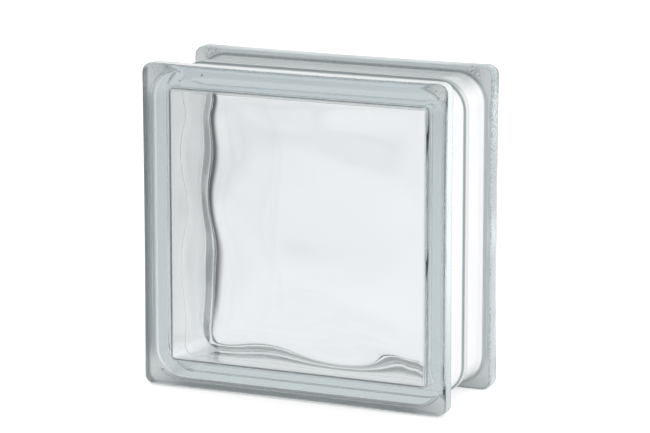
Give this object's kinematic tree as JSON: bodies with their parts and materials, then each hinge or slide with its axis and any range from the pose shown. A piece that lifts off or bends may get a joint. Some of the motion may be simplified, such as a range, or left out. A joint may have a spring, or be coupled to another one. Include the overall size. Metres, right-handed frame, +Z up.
{
  "type": "glass block",
  "caption": "Square hollow glass wall block with wavy inner faces, flanged rims and a recessed side wall that keys into mortar.",
  "frame": {"origin": "middle of the block's footprint, on the plane of its lower rims", "axes": "+Z up, as the block stands in a wall; the front face looks along -Y and the depth runs along Y"},
  "size_m": [0.19, 0.08, 0.19],
  "materials": {
    "clear_glass": "polished"
  },
  "bodies": {
    "root": {"glass_block": "clear_glass"}
  },
  "joints": []
}
